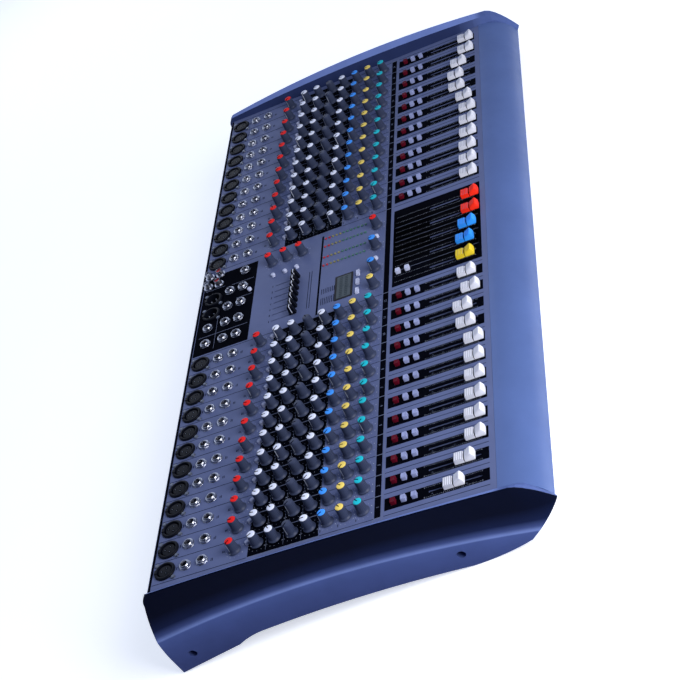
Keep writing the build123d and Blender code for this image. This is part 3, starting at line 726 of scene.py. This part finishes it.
def digits(text, size):
    """Closed thin numerals as a Shape, centred on the origin."""
    curve = bpy.data.curves.new("numeral", "FONT")
    curve.body = text
    curve.size = size
    curve.align_x = "CENTER"
    curve.align_y = "CENTER"
    curve.extrude = 0.05
    curve.resolution_u = 2
    holder = bpy.data.objects.new("numeral", curve)
    mesh = holder.to_mesh()
    shape = Shape()
    shape.add([tuple(v.co) for v in mesh.vertices], [tuple(p.vertices) for p in mesh.polygons])
    holder.to_mesh_clear()
    bpy.data.objects.remove(holder)
    bpy.data.curves.remove(curve)
    return shape


def printed_numbers():
    """Channel numbers on the black strip and decibel numbers beside the faders."""
    shape = Shape()
    for channel, x in enumerate(CHANNEL_X):
        shape.merge(digits(str(channel + 1), 4.2), x, row_y(sum(STRIP) / 2), INK)
    marks = {"10": 0.0, "5": 0.25, "0": 0.5, "20": 0.75}
    steps = {text: digits(text, 1.7) for text in marks}
    for x in CHANNEL_X + list(MASTER_FADER_X):
        for text, share in marks.items():
            row = CAP_STOP_ROW - FADER_TRAVEL * (1 - share)
            shape.merge(steps[text], x - 3.9, row_y(row), INK)
    piece("printed_numbers", shape, "chassis", [INK_GREY])


# ---------------------------------------------------------------- knobs
TURN_SPREAD = 60                     # knobs and jack nuts are turned at random by up to this, degrees


def fluted(angle, z):
    """Eighteen finger flutes on the knob's side."""
    if z < 3.2 or z > 13.6:
        return 1.0
    return 1.0 - 0.06 * (0.5 - 0.5 * math.cos(18 * angle)) ** 2


def knob():
    """Skirted knob: slot 0 body, slot 1 coloured cap, slot 2 dark mark, slot 3 white pointer."""
    shape = Shape()
    side = [(0, 0.8), (6.5, 0.8), (6.7, 1.0), (6.7, 1.5), (6.45, 1.8), (5.9, 2.1), (5.5, 2.6),
            (5.35, 3.4), (5.25, 4.6), (5.0, 9.0), (4.8, 12.8), (4.7, 13.6), (4.5, 14.1),
            (4.3, 14.2), (4.25, 13.9), (0, 13.9)]
    shape.lathe(side, 72, 0, fluted)
    cap = [(0, 13.7), (4.15, 13.7), (4.2, 14.3), (4.05, 14.6), (3.6, 14.85), (2.0, 15.0), (0, 15.02)]
    shape.lathe(cap, 32, 1)
    shape.box(1.0, 4.2, 14.4, 15.1, 0, 1.9, 2)
    foot, top = (5.36, 3.9), (4.82, 13.0)
    shape.loft([[(-0.4, y - 0.6, z), (0.4, y - 0.6, z), (0.4, y + 0.14, z), (-0.4, y + 0.14, z)]
                for y, z in (foot, top)], 3)
    shape.box(0.8, 1.3, 1.2, 2.0, 0, 6.0, 3)
    return shape


def random_turns(count):
    return [math.radians(random.uniform(-TURN_SPREAD, TURN_SPREAD)) for _ in range(count)]


def knob_materials(cap):
    pointer = WHITE_CAP if cap is WHITE_CAP else INK_LIGHT
    return [KNOB_BODY, cap, INK_BLACK, pointer]


KNOB_ROWS = {
    "gain": (GAIN_ROW, RED_CAP, MASTER_RED),
    "high": (EQ_ROWS[0], WHITE_CAP, []),
    "high_mid": (EQ_ROWS[1], WHITE_CAP, []),
    "mid_frequency": (EQ_ROWS[2], KNOB_BODY, []),
    "low": (EQ_ROWS[3], WHITE_CAP, []),
    "aux_one": (EQ_ROWS[4], BLUE_CAP, MASTER_BLUE),
    "aux_two": (EQ_ROWS[5], YELLOW_CAP, MASTER_YELLOW),
    "pan": (EQ_ROWS[6], CYAN_CAP, []),
}


def build_knobs():
    shape = knob()
    for name, (row, cap, extra) in KNOB_ROWS.items():
        first = [(CHANNEL_X[0], row)]
        piece("knob_" + name + "_look", spread(shape, first, random_turns(1)), "knob_" + name,
              knob_materials(cap), ["knob_" + name])
        places = [(x, row) for x in CHANNEL_X[1:]] + extra
        piece("knobs_" + name, spread(shape, places, random_turns(len(places))), "chassis",
              knob_materials(cap), ["rotary_knobs"])


# ---------------------------------------------------------------- faders
RIB_STEP = 1.9                       # finger ribs across a fader cap
RIB_GROOVE = 0.7
RIB_DEPTH = 0.75
CAP_SECTIONS = [                     # across a cap: x, how far its edge is drawn in, bow of its valley
    (-5.4, 0.35, 0.0),
    (-5.1, 0.0, 0.1),
    (-1.8, -0.1, 0.5),
    (1.8, -0.1, 0.5),
    (5.1, 0.0, 0.1),
    (5.4, 0.35, 0.0),
]


def cap_outline():
    """Side view (y, z) of a fader cap: ribbed flat rear, dark valley, peaked front hump."""
    points = [(-10.0, 1.2), (10.0, 1.2), (10.0, 5.2), (9.6, 6.1)]
    for i in range(4):
        y = 8.9 - i * RIB_STEP
        low = 6.65 - RIB_DEPTH
        points += [(y, 6.65), (y - RIB_STEP + RIB_GROOVE, 6.65),
                   (y - RIB_STEP + RIB_GROOVE - 0.15, low), (y - RIB_STEP + 0.15, low)]
    points += [(1.2, 6.4), (0.6, 5.3), (0.3, 4.5), (-0.3, 4.5), (-0.65, 5.4), (-1.0, 6.3)]
    for i in range(3):
        y = -1.5 - i * RIB_STEP
        z = 6.6 + i * RIB_STEP * 0.5
        points += [(y, z + 0.25), (y - RIB_STEP + RIB_GROOVE, z + 0.85),
                   (y - RIB_STEP + RIB_GROOVE - 0.1, z + 0.35), (y - RIB_STEP + 0.1, z + 0.65)]
    points += [(-7.1, 9.45), (-7.5, 9.5), (-7.9, 9.2), (-9.7, 5.9), (-10.0, 5.0)]
    return points


def fader_cap():
    """Slot 0 plastic, 1 dark line in the curved valley, 2 metal lever, 3 painted shade in the rib
    grooves.
    """
    shape = Shape()
    outline = cap_outline()
    sections = [[(x, y * (1 - inset / 12) + (bow if abs(y) < 1.1 else 0), z - (inset if z > 3 else 0))
                 for y, z in outline] for x, inset, bow in CAP_SECTIONS]
    shape.loft(sections)
    shape.loft([[(x, bow + side * 0.45, z) for side, z in ((-1, 4.2), (1, 4.2), (1, 5.05), (-1, 5.05))]
                for x, _, bow in CAP_SECTIONS], 1)
    for side in (-1, 1):
        shape.box(0.12, 0.6, 1.5, 5.0, side * 5.42, 0, 1)
    shape.box(1.2, 4.0, -7.0, 1.6, 0, 0, 2)
    # dark strips on the groove floors: painted shade so that the ribs show
    for i in range(4):
        shape.box(10.0, RIB_GROOVE - 0.25, 5.0, 6.65 - 0.5 * RIB_DEPTH, 0,
                  8.9 - (i + 1) * RIB_STEP + RIB_GROOVE / 2, 3)
    return shape


CHANNEL_CAP = (FADER_WHITE, "fader_white")
MASTER_CAPS = {
    "main_left": (FADER_RED, "fader_red"),
    "main_right": (FADER_RED, "fader_red"),
    "group_one": (FADER_BLUE, "fader_blue"),
    "group_two": (FADER_BLUE, "fader_blue"),
    "effects_return": (FADER_YELLOW, "fader_yellow"),
}


def build_faders():
    """One cap for each fader, as far from its front stop as the CAD joint says."""
    shape = fader_cap()
    names = ["%02d" % (i + 1) for i in range(CHANNELS)] + list(MASTER_CAPS)
    for name, x in zip(names, CHANNEL_X + list(MASTER_FADER_X)):
        plastic, slot = MASTER_CAPS.get(name, CHANNEL_CAP)
        body = "fader_" + name
        lift = -1000 * joint(body + "_slide")["range_m"][0]
        place = [(x, CAP_STOP_ROW - lift)]
        piece(body + "_look", spread(shape, place), body,
              [plastic, INK_BLACK, SCREW_STEEL, FADER_GROOVE_PAINTED_SHADE], [body], 40.0)


# ---------------------------------------------------------------- buttons
def rounded_loop(width, depth, radius, z, steps=5):
    """Rectangle with round corners, as a loop of points at height z."""
    loop = []
    centres = [(1, 1, 0), (-1, 1, 90), (-1, -1, 180), (1, -1, 270)]
    for i, j, start in centres:
        for k in range(steps):
            angle = math.radians(start + 90 * k / (steps - 1))
            loop.append((i * (width / 2 - radius) + radius * math.cos(angle),
                         j * (depth / 2 - radius) + radius * math.sin(angle), z))
    return loop


def key(width, depth, height):
    """Moulded key top with rounded shoulders and a slightly dished top."""
    shape = Shape()
    shape.loft([rounded_loop(width + 1.4, depth + 1.4, 0.6, -5.0),
                rounded_loop(width + 1.4, depth + 1.4, 0.6, -3.9),
                rounded_loop(width, depth, 0.5, -3.8),
                rounded_loop(width, depth, 0.5, height - 0.4),
                rounded_loop(width - 0.25, depth - 0.25, 0.45, height - 0.1),
                rounded_loop(width - 0.8, depth - 0.8, 0.4, height),
                rounded_loop(width - 1.4, depth - 1.4, 0.3, height - 0.15)])
    return shape


def round_key():
    shape = Shape()
    shape.lathe([(0, -5.0), (3.4, -5.0), (3.4, -3.8), (2.55, -3.8), (2.55, 2.5), (2.4, 2.95),
                 (2.0, 3.2), (1.2, 3.25), (0, 3.15)], 28)
    return shape


def build_buttons():
    low_cut = [(x + 4.6, LOW_CUT_ROW) for x in CHANNEL_X]
    mute = [(x, MUTE_ROW) for x in CHANNEL_X]
    assign = [(x, row) for x in CHANNEL_X for row in ASSIGN_ROWS]
    square = key(6.2, 5.0, 4.2)
    piece("low_cut_keys", spread(round_key(), low_cut), "low_cut_buttons", [BUTTON_WHITE],
          ["low_cut_buttons"])
    piece("mute_keys", spread(square, mute), "mute_buttons", [BUTTON_MUTE], ["mute_buttons"])
    piece("assign_keys", spread(square, assign), "assign_buttons", [BUTTON_GREY],
          ["assign_buttons"])
    masters = spread(round_key(), SMALL_BUTTONS)
    masters.merge(spread(square, GROUP_BUTTONS))
    masters.merge(spread(key(9.0, 4.0, 2.4), DISPLAY_BUTTONS))
    piece("master_keys", masters, "master_buttons", [BUTTON_WHITE], ["master_buttons"])


def build_graphic_sliders():
    """Seven black levers with a white line, at the front ends of their slots."""
    lever = Shape()
    outline = [(-4.2, 1.0), (4.2, 1.0), (3.8, 4.0), (2.8, 11.3), (2.3, 12.0), (-2.3, 12.0),
               (-2.8, 11.3), (-3.8, 4.0)]
    lever.loft([[(x, y * k, z) for y, z in outline] for x, k in
                ((-2.5, 0.9), (-2.2, 1.0), (2.2, 1.0), (2.5, 0.9))])
    lever.box(5.06, 0.8, 3.0, 12.06, 0, 0, 1)
    lever.box(0.9, 3.0, -6.5, 1.5)
    row = GRAPHIC_ROW + GRAPHIC_TRAVEL / 2
    piece("graphic_levers", spread(lever, [(x, row) for x in GRAPHIC_SLIDERS_X]),
          "graphic_sliders", [SOCKET_BLACK, WHITE_CAP], ["graphic_sliders"])


# ---------------------------------------------------------------- sockets
LATCH_REACH = 9.2                    # from a microphone socket's middle to its latch tab


def xlr_face(male):
    """Round black microphone socket with its latch tab: slot 0 plastic, 1 metal, 2 painted shade for
    the contact holes.
    """
    shape = Shape()
    rim = [(9.2, -18), (9.2, 0.0), (11.0, 0.0), (11.2, 0.3), (11.2, 1.4), (10.8, 1.9), (9.8, 2.35),
           (9.0, 2.4), (8.4, 2.1), (8.3, 1.4)]
    floor = -12.0 if male else -5.0
    rim += [(8.3, floor), (0, floor)]
    shape.lathe([(0, -18)] + rim, 48)
    if not male:
        shape.lathe([(0, -5.2), (7.1, -5.2), (7.1, 0.7), (6.8, 1.1), (5.5, 1.2), (0, 1.2)], 40)
    for angle in (90, 210, 330):
        x = 3.6 * math.cos(math.radians(angle))
        y = 3.6 * math.sin(math.radians(angle))
        if male:
            shape.lathe([(0, -12), (1.2, -12), (1.2, -1.8), (0.8, -1.1), (0, -1.0)], 16, 1, x=x, y=y)
        else:
            # a near-black disc on the insert: painted shade where each contact hole is
            shape.lathe([(0, 1.0), (1.45, 1.0), (1.45, 1.24), (0, 1.24)], 16, 2, x=x, y=y)
            shape.lathe([(0, 1.1), (0.5, 1.1), (0.5, 1.3), (0, 1.3)], 12, 1, x=x, y=y)
    latch = Shape()
    latch.loft([rounded_loop(5.0, 3.4, 0.6, 1.6), rounded_loop(5.0, 3.4, 0.6, 2.7),
                rounded_loop(4.2, 2.6, 0.4, 3.0)], 0)
    shape.merge(latch, y=LATCH_REACH)
    return shape


NUT_GROWTH = 1.06                    # how far a nut's corners stand out of its turned outline


def six_sided(angle, z):
    """Radius factor that turns a nut's sides flat and leaves its chamfered top round."""
    if not 0.4 < z < 2.3:
        return 1.0
    sixth = math.pi / 3
    return NUT_GROWTH * math.cos(sixth / 2) / math.cos(angle % sixth - sixth / 2)


def jack_face():
    """Plated jack: washer, six-sided nut, threaded bushing with a rounded mouth and a dark bore."""
    shape = Shape()
    shape.lathe([(4.4, 0.02), (6.2, 0.02), (6.3, 0.25), (6.1, 0.45), (4.4, 0.45)], 40, 0)
    nut = [(4.3, 0.45), (5.9, 0.45), (5.95, 0.7), (5.95, 2.0), (5.6, 2.4), (4.6, 2.5), (4.3, 2.3)]
    shape.lathe(nut, 48, 0, six_sided)
    bushing = [(4.5, -1.4), (4.5, 2.5), (4.35, 2.7), (4.5, 2.9), (4.35, 3.1), (4.5, 3.3), (4.2, 3.75),
               (3.8, 3.85), (3.4, 3.6), (3.25, 3.1), (3.2, -6.0)]
    shape.lathe(bushing, 40, 0)
    shape.lathe([(0, -6.0), (3.3, -6.0), (3.3, -5.6), (0, -5.6)], 24, 1)
    shape.box(12.0, 12.0, -19.0, -1.6, slot=1)
    return shape


def rca_face():
    """Phono socket: coloured collar, plated tube and the centre contact."""
    shape = Shape()
    shape.lathe([(4.2, 0.05), (6.1, 0.05), (6.2, 0.4), (6.1, 1.2), (5.6, 1.7), (4.1, 1.7)], 36, 0)
    shape.lathe([(4.2, -8), (4.2, 6.9), (4.0, 7.7), (3.7, 7.9), (3.4, 7.6), (3.3, 6.9), (3.3, -2.0)],
                36, 0)
    shape.lathe([(0, -2.0), (3.3, -2.0), (3.3, 5.4), (1.8, 5.4), (1.8, 1.0), (0, 1.0)], 24, 1)
    shape.lathe([(0, -8), (1.7, -8), (1.7, 0.6), (1.4, 1.0), (1.0, 1.0), (0.9, 0.2), (0, 0.1)], 20, 0)
    return shape


def build_sockets():
    inputs = [(x, XLR_ROW) for x in CHANNEL_X]
    piece("microphone_inputs", spread(xlr_face(False), inputs), "chassis",
          [SOCKET_BLACK, SCREW_STEEL, CAVITY_BLACK], ["xlr_input_sockets"])
    piece("main_outputs", spread(xlr_face(True), XLR_OUTPUTS), "chassis",
          [SOCKET_BLACK, SCREW_STEEL, CAVITY_BLACK], ["xlr_output_sockets"])
    jacks = [(x, row) for x in CHANNEL_X for row in JACK_ROWS] + MIDDLE_JACKS
    piece("jacks", spread(jack_face(), jacks, random_turns(len(jacks))), "chassis",
          [NICKEL, CAVITY_BLACK], ["jack_sockets", "jack_nuts"])
    for name, places, colour in (("phono_left", RCA_SOCKETS[0::2], PHONO_WHITE),
                                 ("phono_right", RCA_SOCKETS[1::2], PHONO_RED)):
        piece(name, spread(rca_face(), places), "chassis", [NICKEL, colour], ["rca_sockets"])


# ---------------------------------------------------------------- meters and display
def meter_slot(light):
    """Two red lights at the rear end of a column, then three yellow, then green."""
    if light < 2:
        return 0
    return 1 if light < 5 else 2


def build_meters():
    bulb = Shape()
    bulb.lathe([(0, -5.0), (1.55, -5.0), (1.55, 0.5), (1.4, 1.0), (0.9, 1.35), (0, 1.5)], 16)
    shape = Shape()
    for x in METER_X:
        for i in range(METER_LIGHTS):
            before = len(shape.slots)
            shape.merge(bulb, x, row_y(METER_ROW + METER_STEP * i))
            shape.slots[before:] = [meter_slot(i)] * (len(shape.slots) - before)
    piece("meter_lights", shape, "chassis", [LIGHT_RED, LIGHT_YELLOW, LIGHT_GREEN],
          ["display_module"])


def build_display():
    """Bezel, sunken glass and faint display blocks."""
    x, row, width, depth = DISPLAY
    y = row_y(row)
    shape = Shape()
    edge = [rounded_loop(width + 1.6, depth + 1.6, 1.0, z) for z in (-1.0, 0.45)]
    shape.loft(edge, 1)
    shape.points = [(px + x, py + y, pz) for px, py, pz in shape.points]
    shape.box(width - 3.4, depth - 3.4, 0.1, 0.55, x, y, 0)
    for line in range(2):
        for i in range(11):
            shape.box(2.2, 3.6, 0.5, 0.57, x - width / 2 + 4.4 + i * 3.3, y + 3.4 - 6.4 * line, 2)
    piece("display", shape, "chassis", [DISPLAY_GLASS, SOCKET_BLACK, DISPLAY_INK],
          ["display_module"])


# ---------------------------------------------------------------- studio
CAMERA_PLACE = (-1.466352, -0.616877, 0.979593)  # metres, in the console's frame
CAMERA_FORWARD = (0.77388, 0.35812, -0.52237)
CAMERA_RIGHT = (0.063379, -0.845279, -0.530552)
CAMERA_LENS = 86.8                   # millimetres, on the default sensor


def build_camera():
    data = bpy.data.cameras.new("camera")
    data.lens = CAMERA_LENS
    camera = bpy.data.objects.new("camera", data)
    forward = Vector(CAMERA_FORWARD).normalized()
    up = Vector(CAMERA_RIGHT).cross(forward).normalized()
    right = forward.cross(up)
    turn = Matrix((right, up, -forward)).transposed().to_4x4()
    camera.matrix_world = Matrix.Translation(CAMERA_PLACE) @ turn
    bpy.context.scene.collection.objects.link(camera)
    bpy.context.scene.camera = camera


def area_light(name, place, size, power, colour=(1.0, 1.0, 1.0)):
    data = bpy.data.lights.new(name, "AREA")
    data.size = size
    data.energy = power
    data.color = colour
    light = bpy.data.objects.new(name, data)
    light.location = place
    aim = Vector((0, 0, 0.05)) - Vector(place)
    light.rotation_euler = aim.to_track_quat("-Z", "Y").to_euler()
    bpy.context.scene.collection.objects.link(light)


def build_floor():
    mesh = bpy.data.meshes.new("floor")
    reach = 12.0
    mesh.from_pydata([(-reach, -reach, 0), (reach, -reach, 0), (reach, reach, 0), (-reach, reach, 0)],
                     [], [(0, 1, 2, 3)])
    pale = coating("floor_white", (0.86, 0.87, 0.89), 0.7, mottle=0.01)
    shader = next(n for n in pale.node_tree.nodes if n.type == "BSDF_PRINCIPLED")
    shader.inputs["Emission Color"].default_value = (0.90, 0.94, 1.0, 1.0)
    shader.inputs["Emission Strength"].default_value = 0.6
    mesh.materials.append(pale)
    floor = bpy.data.objects.new("floor", mesh)
    bpy.context.scene.collection.objects.link(floor)


def build_world():
    """White backdrop; light falls mostly from the right and above, with a dim left side."""
    world = bpy.data.worlds.new("studio")
    world.use_nodes = True
    nodes = world.node_tree.nodes
    links = world.node_tree.links
    background = nodes["Background"]
    direction = nodes.new("ShaderNodeTexCoord")
    toward = nodes.new("ShaderNodeVectorMath")
    toward.operation = "DOT_PRODUCT"
    toward.inputs[1].default_value = (0.72, 0.18, 0.67)
    links.new(direction.outputs["Generated"], toward.inputs[0])
    sky = ramp(nodes, links, toward.outputs["Value"], (0.03, 0.045, 0.10, 1.0),
               (0.36, 0.42, 0.56, 1.0), 0.0, 1.0)
    seen = nodes.new("ShaderNodeLightPath")
    mix = nodes.new("ShaderNodeMix")
    mix.data_type = "RGBA"
    links.new(seen.outputs["Is Camera Ray"], mix.inputs["Factor"])
    links.new(sky, mix.inputs["A"])
    mix.inputs["B"].default_value = (1.0, 1.0, 1.0, 1.0)
    links.new(mix.outputs["Result"], background.inputs["Color"])
    bpy.context.scene.world = world


def build_lights():
    area_light("key", (-0.75, -1.05, 0.72), 1.0, 27.0, (1.0, 0.98, 0.95))
    area_light("fill", (-0.6, 2.2, 1.9), 1.6, 3.0, (0.82, 0.88, 1.0))
    area_light("sheen", (1.5, 0.8, 0.95), 1.3, 5.0, (0.86, 0.91, 1.0))
    bpy.context.scene.view_settings.view_transform = "Standard"


dress_chassis()
printed_fields()
printed_dark_lines()
printed_marks()
printed_grey_lines()
printed_numbers()
build_knobs()
build_faders()
build_buttons()
build_graphic_sliders()
build_sockets()
build_meters()
build_display()
build_floor()
build_world()
build_lights()
build_camera()
